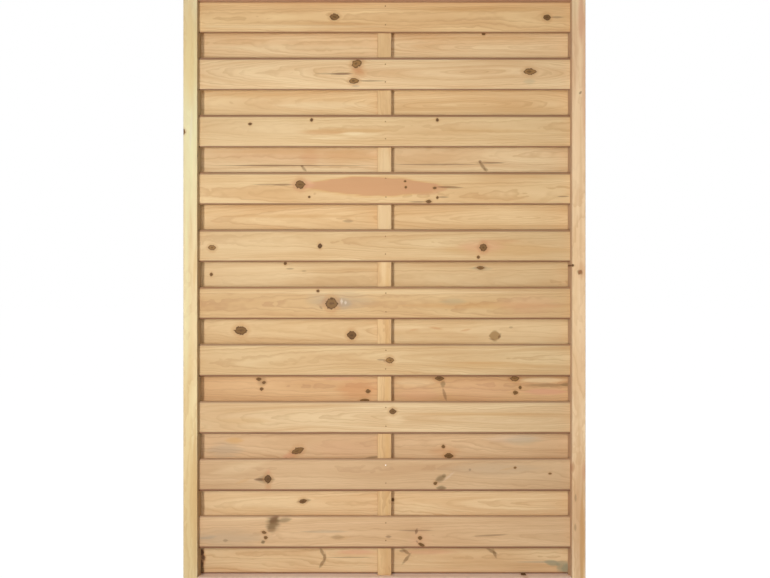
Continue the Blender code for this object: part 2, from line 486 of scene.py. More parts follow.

# %% [markdown]
# ## Where the knots and marks are
#
# No two boards are alike, so each has its own knots and marks, given in millimetres: along
# the board from the panel's left side, and up from the board's middle. A knot has half its length
# and width, its turn in degrees and how pale its heart is. A mark has a colour, its place, half its
# length and width, its turn, how strongly it colours and how soft its edge is. Upright boards
# count from half the panel's height upwards, and across to the right from their middle.

# %% Knots and marks, board by board
KNOTS = {
    "front_slat_01": [(450, -2, 15, 10, 0, 0.6), (1089, -3, 12, 9, 0, 0.35)],
    "front_slat_02": [(517, 30, 17, 11, 20, 0.95), (508, -22, 15, 8, 0, 0.94),
        (1037, 6, 20, 9, 0, 0.95)],
    "front_slat_03": [(196, 21, 6, 4, 0, 0.3), (381, 33, 5, 5, 0, 0.2), (759, 33, 5, 5, 0, 0.2)],
    "front_slat_04": [(346, 11, 16, 12, 0, 0.55), (374, -26, 4, 3, 0, 0.3), (662, 21, 4, 3, 0, 0.5),
        (664, 3, 4, 4, 0, 0.5), (751, 1, 6, 4, 0, 0.4), (759, -28, 4, 4, 0, 0.46),
        (733, -40, 9, 5, 0, 0.46)],
    "front_slat_05": [(82, -6, 12, 8, 0, 0.95), (406, -1, 7, 7, 0, 0.1), (897, -6, 12, 11, 0, 0.5),
        (882, -35, 5, 5, 0, 0.46)],
    "front_slat_06": [(400, 36, 5, 4, 0, 0.46), (441, -2, 20, 17, 0, 0.6)],
    "front_slat_07": [(616, 0, 12, 9, 0, 0.95)],
    "front_slat_08": [(625, 19, 11, 8, 0, 0.38)],
    "front_slat_09": [(250, -12, 11, 13, 0, 0.25), (753, -25, 6, 4.8, 20, 0.5),
        (993, 22, 4.5, 3.3, 15, 0.7), (1098, 4, 5.7, 3, 0, 0.7)],
    "front_slat_10": [(238, 0, 8.1, 3.9, -15, 0.6), (243, -16, 5.7, 5.1, 0, 0.6),
        (707, -17, 6.6, 5.4, 0, 0.45), (711, -37, 10.2, 4.5, -22, 0.45)],
    "back_slat_01": [(902, 43, 6, 5, 0, 0.46)],
    "back_slat_05": [(298, 34, 5, 5, 0, 0.46), (73, 0, 5, 5, 0, 0.46), (893, 20, 12, 5, 0, 0.62)],
    "back_slat_06": [(163, 2, 20, 13, 0, 0.55), (500, -12, 15, 12, 0, 0.35)],
    "back_slat_07": [(217, 26, 8, 5, 0, 0.46), (233, 16, 6, 5, 0, 0.46), (226, -4, 6, 5, 0, 0.46),
        (550, -11, 8, 6, 0, 0.54), (539, -39, 14, 6, 0, 0.62), (996, 28, 14, 8, 0, 0.86),
        (1013, 1, 5, 5, 0, 0.46), (999, -15, 8, 6, 0, 0.62), (767, 28, 14, 7, 0, 0.5)],
    "back_slat_08": [(336, -19, 19, 10, 22, 0.62), (779, -7, 6, 5, 0, 0.46),
        (796, -35, 14, 8, 0, 0.46)],
    "back_slat_09": [(351, -1, 12, 7, 12, 0.42), (625, 4, 5, 5, 0, 0.46)],
    "left_stile": [(468, -20, 9, 5, 0, 0.6)],
    "right_stile": [(69, -18, 4, 4, 0, 0.2)],
    "bottom_rail": [(1022, 10, 9, 7, 0, 0.3)],
}
MARKS = {
    "front_slat_01": [("brown", 1116, -3, 21, 3.5, 0, 0.45, 0.6),
        ("cream", 316, -31, 271, 6, 0, 0.35, 0.8), ("tan", 902, 21, 256, 7.5, 0, 0.35, 0.8),
        ("tan", 436, -23.3, 180, 4.8, 0, 0.35, 0.8), ("tan", 857, 21.8, 210, 5.4, 0, 0.3, 0.8)],
    "front_slat_02": [("brown", 558, -22, 44, 2.4, 0, 0.5, 0.5),
        ("brown", 468, -1, 38, 2.6, 0, 0.6, 0.5), ("russet", 523, 3, 27, 18, 0, 0.35, 0.8),
        ("moss", 1036, -24, 17, 9, 0, 0.25, 0.9), ("brown", 475, 0.2, 30, 3, 0, 0.45, 0.6),
        ("brown", 421, -0.1, 27, 2.4, 0, 0.3, 0.7), ("russet", 520, 10.7, 21, 9.6, -30, 0.4, 0.7),
        ("grey", 514, -37.4, 12, 3, 0, 0.4, 0.6)],
    "front_slat_03": [("cream", 180, 0, 190, 48, 0, 0.3, 0.9),
        ("russet", 414, -5, 68, 6, 0, 0.35, 0.8), ("cream", 527, -10, 60, 7.5, 0, 0.4, 0.8),
        ("tan", 481, -0.3, 138, 7.2, 0, 0.5, 0.6), ("cream", 508, -7.5, 36, 4.5, 0, 0.6, 0.6),
        ("cream", 436, -21.3, 60, 3.6, 0, 0.4, 0.8), ("tan", 947, -0.3, 180, 4.8, 0, 0.35, 0.8)],
    "front_slat_04": [("brown", 263, 11, 62, 2.3, 0, 0.42, 0.5),
        ("brown", 702, -41, 32, 2.3, 0, 0.5, 0.5), ("brown", 1137, -25, 18, 2.1, 0, 0.5, 0.5),
        ("honey", 569, 5, 232, 31, -0.7, 0.5, 0.15), ("heart", 569, 5.6, 222, 28, -0.7, 0.85, 0.1),
        ("heart", 719, -1.6, 72, 19.2, 0, 0.6, 0.15), ("rose", 364, 11, 27, 10.8, 0, 0.6, 0.7),
        ("brown", 794, 3.2, 39, 3.9, -2, 0.6, 0.6), ("brown", 776, -26.6, 18, 2.4, 0, 0.5, 0.6),
        ("brown", 298, 11, 30, 3.3, 0, 0.35, 0.6), ("rose", 349, 11, 30, 17, 0, 0.45, 0.9)],
    "front_slat_05": [("cream", 180, 0, 190, 48, 0, 0.2, 0.9),
        ("tan", 959, -11, 195, 19.5, 0, 0.5, 0.7), ("russet", 947, 13, 60, 7.5, 0, 0.25, 0.9),
        ("rose", 890, -4.2, 66, 19.5, 0, 0.4, 0.8), ("heart", 899, -4.2, 24, 16.5, 0, 0.5, 0.7)],
    "front_slat_06": [("grey", 478, -2, 24, 15, 0, 0.5, 0.7),
        ("cream", 602, 32, 556, 5.3, 0, 0.4, 0.7), ("tan", 902, -8, 256, 9, 0, 0.5, 0.7),
        ("moss", 805, 4, 38, 9, 0, 0.3, 0.9), ("rose", 1038, -5, 90, 24, 0, 0.3, 0.9),
        ("grey", 481, 5.8, 84, 22.5, 0, 0.3, 0.9), ("grey", 400, 8.8, 36, 19.5, 0, 0.25, 0.9),
        ("chalk", 471, 4.6, 4, 6.6, 0, 0.6, 0.7), ("chalk", 483, 1, 4, 4.8, 0, 0.5, 0.7),
        ("brown", 409, -14, 7, 3, -50, 0.4, 0.6)],
    "front_slat_07": [("brown", 603, -2, 8, 2.3, 0, 0.5, 0.5),
        ("tan", 947, -16, 180, 9, 0, 0.4, 0.8), ("tan", 896, -7.6, 114, 3, 0, 0.5, 0.7),
        ("brown", 591, 1.4, 14, 2.4, 0, 0.5, 0.6)],
    "front_slat_08": [("cream", 632, -6, 30, 15, 0, 0.3, 0.8), ("tan", 182, -9, 74, 9, 0, 0.3, 0.8),
        ("tan", 887, 11, 240, 4.5, 0, 0.4, 0.7)],
    "front_slat_09": [("grey", 925, 18, 143, 16.5, 0, 0.22, 0.9),
        ("umber", 244, -13.4, 23, 10.8, 0, 0.6, 0.8), ("brown", 225, -14, 17, 5.1, 0, 0.7, 0.6),
        ("heart", 250, -38, 10, 7.8, 0, 0.5, 0.8), ("rose", 251, 7.7, 5, 10.2, 0, 0.4, 0.8),
        ("tan", 175, -18.2, 24, 4.2, 20, 0.3, 0.8), ("umber", 779, -1.9, 7, 4.8, 0, 0.5, 0.7),
        ("tan", 971, 18.5, 24, 3, 10, 0.3, 0.8), ("umber", 857, 15.5, 4, 3.9, 0, 0.4, 0.6),
        ("cream", 160, 20.9, 78, 13.8, 12, 0.3, 0.9), ("chalk", 794, -4.3, 21, 2.7, 40, 0.25, 0.9),
        ("umber", 768, -11, 17, 8.7, 28, 0.65, 0.6), ("umber", 771, -39.2, 15, 5.7, 0, 0.7, 0.6)],
    "front_slat_10": [("tan", 466, -16, 30, 6, 0, 0.3, 0.9),
        ("grey", 121, -17.1, 120, 21, 0, 0.3, 0.9), ("grey", 69, -15.3, 27, 4.5, 6, 0.4, 0.7),
        ("umber", 122, -25, 8, 4.2, 0, 0.4, 0.7), ("umber", 460, -14.7, 21, 5.4, 0, 0.35, 0.7),
        ("grey", 421, 2.1, 66, 3.6, 0, 0.35, 0.8), ("brown", 612, -12.9, 9, 3.6, 0, 0.5, 0.6),
        ("brown", 695, 5.7, 57, 2.7, 0, 0.5, 0.6), ("brown", 696, 2.7, 5, 7.8, -15, 0.7, 0.5),
        ("brown", 698, -28, 5, 2.7, -50, 0.5, 0.5), ("rose", 707, -23.2, 33, 24.1, 0, 0.25, 0.9),
        ("brown", 917, -9.3, 51, 2.4, 3, 0.45, 0.6), ("umber", 235, -29.2, 7, 4.5, 15, 0.8, 0.6),
        ("umber", 265, 27, 25, 17, 52, 0.7, 0.7), ("bast", 261, 10, 13, 10, 40, 0.55, 0.7),
        ("umber", 298, 36.4, 23, 7.2, 8, 0.55, 0.7), ("bast", 268, 34, 17, 12, 48, 0.6, 0.7),
        ("brown", 267, 37, 14, 8, 42, 0.6, 0.6)],
    "back_slat_01": [("cream", 313, 2, 243, 7.6, 0, 0.3, 0.8),
        ("tan", 891, 28, 243, 6.1, 0, 0.35, 0.8)],
    "back_slat_02": [("cream", 180, 0, 190, 44, 0, 0.26, 0.9),
        ("cream", 411, -2, 145, 10.7, 0, 0.5, 0.8), ("tan", 206, 29, 137, 7.6, 0, 0.35, 0.8),
        ("tan", 891, -13, 243, 12.2, 0, 0.25, 0.9)],
    "back_slat_03": [("cream", 316, -29, 265, 9.1, 0, 0.55, 0.3),
        ("russet", 373, 12, 30, 19.8, 0, 0.3, 0.9), ("tan", 492, 12, 88, 19.8, 0, 0.45, 0.8),
        ("cream", 891, -26, 243, 9.1, 0, 0.35, 0.6), ("brown", 315, -13.5, 268, 1.8, 0, 0.4, 0.4),
        ("brown", 267, -13.1, 140, 2.4, 0, 0.5, 0.5), ("brown", 349, -14.7, 5, 3, 0, 0.6, 0.6),
        ("brown", 760, -9.8, 131, 2.1, 0, 0.5, 0.45), ("brown", 924, -4.9, 43, 2.4, 1, 0.55, 0.5),
        ("brown", 891, -1.3, 5, 4.3, 0, 0.6, 0.6), ("rose", 343, 15.8, 274, 18.3, 0, 0.15, 0.9),
        ("tan", 312, 27.9, 274, 6.1, 0, 0.3, 0.8), ("bast", 354, -22, 13, 4, -47, 0.55, 0.5),
        ("bast", 899, -15.3, 19, 4.6, -54, 0.62, 0.5), ("bast", 908, -25, 8, 4.9, -20, 0.5, 0.6)],
    "back_slat_04": [("brown", 489, -10, 17, 4, 0, 0.4, 0.6),
        ("tan", 328, 5, 259, 4.6, 0, 0.4, 0.7), ("tan", 891, -24, 243, 9.1, 0, 0.3, 0.8)],
    "back_slat_05": [("cream", 180, 0, 190, 44, 0, 0.36, 0.9),
        ("cream", 883, -19, 251, 12.2, 0, 0.15, 0.8), ("moss", 894, 18, 33, 6.1, 0, 0.3, 0.8),
        ("brown", 312, 17.2, 12, 2.4, 0, 0.4, 0.6), ("brown", 355, 10.5, 9, 2.4, 0, 0.35, 0.6),
        ("moss", 891, 20.8, 21, 5.5, 0, 0.5, 0.6)],
    "back_slat_06": [("cream", 1020, 0, 190, 44, 0, 0.36, 0.9),
        ("knotwood", 936, -14.7, 18, 15.2, 0, 0.85, 0.25),
        ("brown", 950, -16.8, 4, 7.9, -25, 0.6, 0.6), ("brown", 927, -25, 11, 2.4, -15, 0.4, 0.6),
        ("russet", 690, 4.8, 15, 2.7, 10, 0.45, 0.7), ("russet", 757, 8.8, 21, 3.3, -8, 0.45, 0.7),
        ("russet", 848, 3.3, 18, 2.7, 12, 0.4, 0.7), ("brown", 985, 11.2, 7, 2.7, 0, 0.35, 0.7),
        ("cream", 641, 9.4, 91, 6.7, 0, 0.3, 0.8)],
    "back_slat_07": [("russet", 516, -6, 58, 27.4, 0, 0.45, 0.8),
        ("cream", 1082, 23, 70, 7.6, 0, 0.5, 0.5), ("cream", 694, 16, 62, 12.2, 0, 0.3, 0.6),
        ("rose", 701, -21, 68, 18.3, 0, 0.3, 0.8), ("rose", 891, -9, 107, 30.4, 0, 0.2, 0.9),
        ("umber", 778, 11.3, 8, 9.7, 0, 0.55, 0.6), ("brown", 783, -20.4, 20, 4.6, -74, 0.5, 0.5),
        ("umber", 227, 20.4, 15, 13.7, -30, 0.3, 0.8), ("umber", 1095, 7.7, 67, 5.2, 0, 0.38, 0.5),
        ("umber", 1156, 10.1, 21, 4.9, 0, 0.5, 0.6), ("rose", 1089, -11.8, 70, 9.1, 0, 0.75, 0.5),
        ("rose", 465, 27.7, 55, 4.3, 0, 0.6, 0.7)],
    "back_slat_08": [("russet", 319, -31, 24, 12.2, 25, 0.35, 0.7),
        ("grey", 115, -16, 55, 18.3, 0, 0.35, 0.8), ("moss", 1023, 12, 53, 12.2, 0, 0.3, 0.8),
        ("russet", 784, -22, 46, 15.2, 0, 0.3, 0.9), ("rose", 474, -13, 100, 24.3, 0, 0.2, 0.9),
        ("honey", 142, 11.7, 27, 7.9, 0, 0.45, 0.8), ("umber", 562, -40.3, 24, 3.7, 8, 0.5, 0.7),
        ("umber", 300, -42.8, 5, 3, 0, 0.7, 0.6), ("rose", 306, -34.9, 21, 7.3, 22, 0.6, 0.7),
        ("chalk", 1000, 17.5, 85, 12.2, 0, 0.25, 0.9)],
    "back_slat_09": [("cream", 180, 0, 190, 44, 0, 0.26, 0.9),
        ("tan", 206, -28, 137, 10.7, 0, 0.3, 0.8), ("umber", 354, -0.1, 21, 5.2, 8, 0.6, 0.7)],
    "back_slat_10": [("russet", 513, 11, 61, 7.6, 0, 0.25, 0.8),
        ("brown", 495, 0.7, 76, 1.8, 0, 0.4, 0.5), ("rose", 513, 17.7, 58, 6.7, 0, 0.6, 0.6),
        ("umber", 655, 20.1, 10, 4.3, 0, 0.5, 0.6), ("rose", 739, 17.1, 79, 7.3, 0, 0.4, 0.7),
        ("grey", 1073, -13.4, 73, 3, 0, 0.4, 0.6), ("bast", 410, 17.1, 5, 13.4, 24, 0.62, 0.6),
        ("bast", 418, 0, 5, 13.4, -2, 0.62, 0.6), ("bast", 410, -17.6, 5, 14.6, -30, 0.62, 0.6),
        ("bast", 666, 17.7, 5, 15.8, 52, 0.62, 0.6), ("bast", 667, -3.6, 5, 17.7, -38, 0.62, 0.6),
        ("bast", 926, 20.1, 5, 17, 62, 0.62, 0.6), ("bast", 935, 13.4, 5, 13.4, 20, 0.62, 0.6),
        ("moss", 1110, -16.4, 24, 8.5, -10, 0.68, 0.5),
        ("moss", 1142, -27.4, 21, 16.7, -30, 0.62, 0.5),
        ("moss", 1157, -34.7, 18, 19.8, 0, 0.72, 0.4), ("russet", 46, -1.2, 12, 24.4, 0, 0.5, 0.7),
        ("bark", 44, 15.9, 7, 10.4, 0, 0.9, 0.5), ("bark", 49, 0, 7, 7.9, 20, 0.7, 0.5),
        ("bark", 43, -18.8, 6, 13.4, 0, 0.85, 0.5), ("umber", 44, -39.5, 7, 15.2, 0, 0.85, 0.5)],
    "left_stile": [("pollen", 440, -10, 330, 16, 0, 0.6, 0.7),
        ("pollen", 430, 12, 300, 11, 0, 0.6, 0.7), ("cream", 0, 12, 420, 9, 0, 0.5, 0.6),
        ("pollen", -60, -12, 260, 9, 0, 0.45, 0.7), ("tan", 620, 9, 160, 6, 0, 0.2, 0.8),
        ("cream", 820, 0, 90, 14, 0, 0.4, 0.8), ("tan", -640, 14, 240, 8, 0, 0.6, 0.7),
        ("tan", -560, 2, 200, 3, 0, 0.3, 0.8), ("buff", 700, -2, 150, 26, 0, 0.6, 0.8),
        ("buff", -330, 0, 190, 24, 0, 0.25, 0.9), ("chalk", 470, 2, 60, 3, 2, 0.4, 0.7),
        ("honey", 60, 14, 70, 4, 2, 0.3, 0.8), ("buff", -690, -3, 270, 26, 0, 0.35, 0.8),
        ("honey", -60, 0, 230, 24, 0, 0.12, 0.9)],
    "right_stile": [("rose", 810, 8, 80, 9, 0, 0.7, 0.6), ("honey", -760, 10, 160, 7, 0, 0.7, 0.5),
        ("cream", 830, -12, 60, 9, 0, 0.5, 0.6), ("tan", 250, 6, 260, 4, 0, 0.25, 0.8),
        ("tan", -640, 0, 220, 24, 0, 0.36, 0.9), ("rose", 620, 18, 190, 8, 0, 0.45, 0.7),
        ("brown", 584, 5, 6, 3, 40, 0.6, 0.6), ("brown", 49, 4, 8, 7, 30, 0.92, 0.6),
        ("russet", 55, 8, 26, 11, 0, 0.35, 0.9), ("heart", -533, -17, 16, 5, 0, 0.8, 0.6),
        ("rose", -545, 16, 30, 6, 0, 0.6, 0.7), ("umber", -624, -9, 12, 3, 0, 0.5, 0.7),
        ("umber", -712, -10, 12, 3, 0, 0.5, 0.7), ("heart", -680, 3, 190, 22, 0, 0.4, 0.8),
        ("tan", -287, 0, 130, 24, 0, 0.2, 0.9), ("heart", 720, -11, 150, 9, 0, 0.4, 0.8),
        ("honey", 10, -11, 320, 9, 0, 0.2, 0.8)],
    "middle_batten": [("cream", 260, 0, 230, 24, 0, 0.45, 0.6),
        ("honey", -300, 8, 480, 7, 0, 0.25, 0.8)],
}
print(sum(map(len, KNOTS.values())), "knots,", sum(map(len, MARKS.values())), "marks")

# %% [markdown]
# ## Layers of colour
#
# Pine takes its colours one over the other: the pale wood first, then its darker streaks, the
# latewood, the stains and the knots. The material does the same, with one Mix node for each
# layer, and last it adds painted shade along the edges. A layer is a mask, which says how
# strongly it covers each point, and a colour. The two functions below make the layers of a
# board's knots and marks.

# %% The layers of a board's knots and marks
INK = {name: linear(colour) for name, colour in {
    "cream": "ecd3a6", "tan": "c9995f", "rose": "d69f7c", "russet": "c4824e", "heart": "ca976c",
    "moss": "969478", "grey": "a39480", "brown": "6e4a2c", "bark": "4a2c1c", "pollen": "ece6b6",
    "honey": "cf9c55", "umber": "6e5834", "knotwood": "a07c4c", "chalk": "e2d2bc",
    "bast": "7e5c36", "buff": "e6c88a"}.items()}
KNOT_INK = {  # colour and strength
    "Halo": (linear("b98048"), 0.4), "Heart": (linear("946c3a"), 0.95),
    "Rim": (linear("482c14"), 0.92)}


def spot(along, up, half_length, half_height, turn):
    """The inputs that say where a knot or a mark is, and how large."""
    return {"Place": (along, up, 0), "Turn": (0, 0, math.radians(turn)),
            "Size": (half_length, half_height, 1)}


def knot_layers(tree, name, plain):
    """The position that a board's knots bend the grain by, and their layers of colour."""
    if name not in KNOTS:
        return plain, []
    found = {"Position": plain, "Heart": 0.0, "Rim": 0.0, "Halo": 0.0}
    for *where, pale in KNOTS[name]:
        knot = add(tree, "Group", {"node_tree": knot_group}, {
            **found, **spot(*where), "Pale": pale})
        found = {label: knot.outputs[label] for label in found}
    layers = []
    for label, (ink, strength) in KNOT_INK.items():
        mask = add(tree, "Math", TIMES, {0: found[label], 1: strength})
        layers.append((mask, ink))
    return found["Position"], layers


def mark_layers(tree, name, plain):
    """The layers of colour of a board's marks."""
    layers = []
    for ink, *where, strength, soft in MARKS.get(name, []):
        mark = add(tree, "Group", {"node_tree": mark_group}, {
            "Position": plain, **spot(*where), "Soft": soft})
        mask = add(tree, "Math", TIMES, {0: mark, 1: strength})
        layers.append((mask, INK[ink]))
    return layers


print(len(INK), "colours for marks")

# %% [markdown]
# ## Painted shade along the edges
#
# The dark line between two slats and along the frame's inner edges is shade, in the gaps
# between the layers and on arrises that turn away from the light. Much of that shade is painted
# into the colour along a board's long edges, as a dark brown. Its mask comes from the distance to
# the edge. A slat's narrow sides get less of it, and the Normal output tells them from the face.

# %% Paint shade along the long edges
# A dark brown that stands for shade: the colour of the painted edge shade
PAINTED_EDGE_SHADE = linear("7a4d35")
FACE_FROM = 0.5  # how squarely a surface has to look to the front or the back to count as a face


def painted_edge_shade_mask(tree, plain, normal, half_width, edges, narrow_share):
    """Mask of the painted shade along a board's upper (or right) and lower (or left) edges."""
    parts = add(tree, "SeparateXYZ", {}, {0: plain})
    below = add(tree, "Math", TIMES, {0: parts.outputs["Y"], 1: -1.0})
    painted_shade = []
    for height, (start, full, strength) in zip((parts.outputs["Y"], below.outputs[0]), edges):
        painted_shade.append(add(tree, "MapRange", SMOOTH, {
            "Value": height, "From Min": half_width - start, "From Max": half_width - full,
            "To Max": strength}))
    near_edge = add(tree, "Math", {"operation": "MAXIMUM"}, {0: painted_shade[0], 1: painted_shade[1]})
    facing = add(tree, "SeparateXYZ", {}, {0: normal})
    to_front = add(tree, "Math", {"operation": "ABSOLUTE"}, {0: facing.outputs["Y"]})
    on_face = add(tree, "MapRange", {}, {
        "Value": to_front, "From Max": FACE_FROM, "To Min": narrow_share})
    return add(tree, "Math", TIMES, {0: near_edge, 1: on_face})


print("edge brown in linear light:", [round(channel, 3) for channel in PAINTED_EDGE_SHADE[:3]])

# %% [markdown]
# ## The timber
#
# The boards are Scots pine, planed on their faces and left bare. Fresh pine is a pale straw colour
# with amber latewood. It is matt, since nothing fills its open fibres. Soft earlywood gets a
# roughness of 0.72, hard latewood comes off the plane a little smoother, at 0.55, and both have a
# low specular level. The fibres and the rings also stand in slight relief.
#
# Each board has a material of its own, because its log, knots and marks are its own. The log is
# given by where its pith lies: up from the board's middle, and behind its face.

# %% The layers of the grain
EVEN_TONE, STREAK_TONE, DRIFT_TONE = 0.5, 1.5, 1.3  # half way to the dark tone, and how it varies
LATEWOOD_TONE, FIBRE_TONE, FIBRE_DARKNESS = 0.36, 0.5, 0.06


def grain_layers(tree, grain, tones, level):
    """The colour of a board's pale wood, and the layers of its streaks and its latewood."""
    streaks = add(tree, "Math", TIMES_PLUS, {
        0: grain.outputs["Streak"], 1: STREAK_TONE, 2: EVEN_TONE})
    streaks = add(tree, "Math", TIMES_PLUS, {
        0: grain.outputs["Drift"], 1: DRIFT_TONE, 2: streaks})
    fibres = add(tree, "Math", TIMES_PLUS, {
        0: grain.outputs["Fibre"], 1: FIBRE_TONE, 2: FIBRE_DARKNESS})
    late = add(tree, "Math", TIMES_PLUS, {
        0: grain.outputs["Latewood"], 1: LATEWOOD_TONE, 2: fibres})
    # The level is the board's own tone, together with painted light and shade that even out the
    # lamps
    pale, dark, amber = [
        (*[level * channel for channel in linear(tone)[:3]], 1.0) for tone in tones]
    return pale, [(streaks, dark), (late, amber)]


print("latewood covers up to", LATEWOOD_TONE, "of the wood below it")

# %% Build a board's material
ROUGHNESS_SOFT, ROUGHNESS_HARD = 0.72, 0.55
SPECULAR_LEVEL = 0.3
RELIEF_STRENGTH, RELIEF_DEPTH = 0.35, 0.2 * MM
FIBRE_RELIEF = 0.5  # a fibre's, where a ring's is 1
LAYING = Matrix(((1, 0, 0), (0, 0, -1), (0, 1, 0)))  # a slat's or rail's own axes: along X, up Z
UPRIGHT = Matrix(((0, 1, 0), (0, 0, 1), (1, 0, 0)))  # a stile's: along Z, across X


def pine_material(name, axes, log, tones, edges, narrow_share=1.0, level=1.0):
    """Bare planed pine for one board: own log, tones, knots, marks and painted edge shade."""
    low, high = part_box(name)
    start, width = (low + high) / 2, high.x - low.x
    if axes is LAYING:
        start.x, width = panel_low.x, high.z - low.z
    material = bpy.data.materials.new(f"bare_pine_{name}")
    material.use_nodes = True
    tree = material.node_tree
    surface = tree.nodes["Principled BSDF"]
    coordinates = add(tree, "TexCoord")
    plain = add(tree, "Mapping", {"vector_type": "TEXTURE"}, {
        "Vector": coordinates.outputs["Object"], "Location": start,
        "Rotation": axes.to_euler(), "Scale": (MM, MM, MM)}).outputs[0]
    bent, knots = knot_layers(tree, name, plain)
    pith_up, pith_behind, ring, lean, seed = log
    grain = add(tree, "Group", {"node_tree": pine_group}, {
        "Position": bent, "Pith": (pith_up, pith_behind, 0), "Ring": ring, "Lean": lean,
        "Seed": seed})

    painted_shade = painted_edge_shade_mask(
        tree, plain, coordinates.outputs["Normal"], width / 2 / MM, edges, narrow_share)
    colour, layers = grain_layers(tree, grain, tones, level)
    for mask, ink in [*layers, *mark_layers(tree, name, plain), *knots, (painted_shade, PAINTED_EDGE_SHADE)]:
        mixed = add(tree, "Mix", COLOUR_MIX, {0: mask, MIX_A: colour, MIX_B: ink})
        colour = mixed.outputs[MIX_RESULT]
    tree.links.new(colour, surface.inputs["Base Color"])

    roughness = add(tree, "MapRange", {}, {
        "Value": grain.outputs["Latewood"], "To Min": ROUGHNESS_SOFT, "To Max": ROUGHNESS_HARD})
    tree.links.new(roughness.outputs[0], surface.inputs["Roughness"])
    surface.inputs["Specular IOR Level"].default_value = SPECULAR_LEVEL
    relief = add(tree, "Math", TIMES_PLUS, {
        0: grain.outputs["Fibre"], 1: FIBRE_RELIEF, 2: grain.outputs["Latewood"]})
    bump = add(tree, "Bump", {}, {
        "Strength": RELIEF_STRENGTH, "Distance": RELIEF_DEPTH, "Height": relief})
    tree.links.new(bump.outputs[0], surface.inputs["Normal"])
    return material


print("roughness:", ROUGHNESS_SOFT, "in soft wood,", ROUGHNESS_HARD, "in hard wood")

# %% [markdown]
# ## One log for each slat
#
# The slats come from small logs, so most piths lie a little behind the board and the arches show.
# Boards from different trees differ in tone. Each one gets a set of three tones, for its pale wood,
# its streaks and its latewood, and a level that makes the whole board a little lighter or darker.
# The levels hold painted light and shade as well: the lamps light the panel's middle height most,
# so the boards there are painted darker and those near the top and the foot lighter.

# %% Logs, tones and levels of the slats
STRAW = ("e9cb9a", "d6ae7b", "b8864e")
PALE = ("edd0a2", "d8b080", "b88a56")
HONEY = ("e5c38f", "d0a572", "b07a46")
DUSKY = ("dfbd92", "cca57a", "aa7c50")
AMBER = ("dab282", "c69a6a", "a27046")
# A log: pith up and behind, width of a ring, all in millimetres, and how much it leans
LOGS = {
    "front": [(-6, 34, 4.4, 0.012), (2, 22, 4.0, 0.075), (10, 40, 4.6, 0.02), (-14, 46, 4.2, 0.008),
              (16, 30, 4.5, 0.02), (-4, 52, 4.3, 0.015), (6, 28, 4.8, 0.03), (-2, 24, 4.6, 0.05),
              (18, 44, 4.2, 0.01), (-10, 36, 4.4, 0.02)],
    "back": [(8, 38, 4.4, 0.015), (0, 20, 4.2, 0.06), (22, 48, 4.0, 0.006), (-4, 22, 4.4, 0.05),
             (-16, 42, 4.6, 0.012), (6, 30, 4.2, 0.03), (12, 50, 4.4, 0.01), (4, 34, 4.6, 0.02),
             (-8, 28, 4.4, 0.035), (10, 40, 4.2, 0.015)],
}
TONES = {
    "front": [HONEY, PALE, STRAW, STRAW, STRAW, HONEY, STRAW, PALE, DUSKY, DUSKY],
    "back": [PALE, STRAW, PALE, STRAW, STRAW, STRAW, AMBER, DUSKY, PALE, PALE],
}
# Each board's own tone, with painted shade in the middle rows and painted light near the ends
TONE_AND_LIGHT_LEVELS = {
    "front": [1.05, 1.01, 0.96, 0.99, 0.91, 0.90, 0.89, 0.90, 0.95, 1.03],
    "back": [1.03, 1.02, 0.94, 1.00, 0.88, 0.92, 1.02, 1.00, 1.01, 0.96],
}
print("levels run from", min(map(min, TONE_AND_LIGHT_LEVELS.values())), "to", max(map(max, TONE_AND_LIGHT_LEVELS.values())))

# %% [markdown]
# The back slats get the painted shade alike along both edges. In the front layer it follows the
# shade: at the panel's top it lies along a slat's upper edge, further down more and more along
# the lower one.

# %% Give every slat its material
FIRST_SEED, SEED_EVERY = {"front": 1.7, "back": 2.9}, 3.0
# The brown below is painted shade along the slats' edges
SLAT_SHADE, SHADE_RUN = 0.85, 4.4  # how strong the brown is, and over how many mm it fades out
BACK_SHADE = (2.1, 3.1)  # where it is full, in mm from the upper and from the lower edge
# The same in the front layer, each at the panel's top and at its foot
FRONT_UPPER, FRONT_UPPER_MOST, FRONT_UPPER_STRENGTH = (8.0, 1.8), 5.6, (SLAT_SHADE, 0.45)
FRONT_LOWER = (0.4, 4.8)
SLAT_NARROW_SHARE = 0.3  # how much of the brown a slat's narrow sides have


def slat_edges(side, down):
    """Where a slat's painted shade starts and is full on each edge, and how strong it is."""
    (upper, lower), upper_strength = BACK_SHADE, SLAT_SHADE
    if side == "front":
        upper, lower, upper_strength = [
            top + (foot - top) * down
            for top, foot in (FRONT_UPPER, FRONT_LOWER, FRONT_UPPER_STRENGTH)]
        upper = min(upper, FRONT_UPPER_MOST)
    return (upper + SHADE_RUN, upper, upper_strength), (lower + SHADE_RUN, lower, SLAT_SHADE)


for side, layer in slats.items():
    for number, name in enumerate(layer):
        log = (*LOGS[side][number], number * SEED_EVERY + FIRST_SEED[side])
        edges = slat_edges(side, number / (len(layer) - 1))
        material = pine_material(
            name, LAYING, log, TONES[side][number], edges, SLAT_NARROW_SHARE, TONE_AND_LIGHT_LEVELS[side][number])
        boards[name].data.materials.clear()
        boards[name].data.materials.append(material)
print("nodes in the last slat's material:", len(material.node_tree.nodes))

# %% [markdown]
# The stiles are paler and yellower than the slats, as sapwood is, and the rails are pinkish. The
# rails' tones are also painted paler, the bottom rail's most: painted light that makes up for the
# shade on the rails' upper and lower sides, which are what shows of them. Their solids have the
# right shape already, so they only get another material in the slot that they have.

# %% Give the frame and the batten their materials
SAPWOOD = ("ecdbac", "dcbe8c", "c09660")
WARM_SAPWOOD = ("f8dcb2", "eec89c", "cea070")
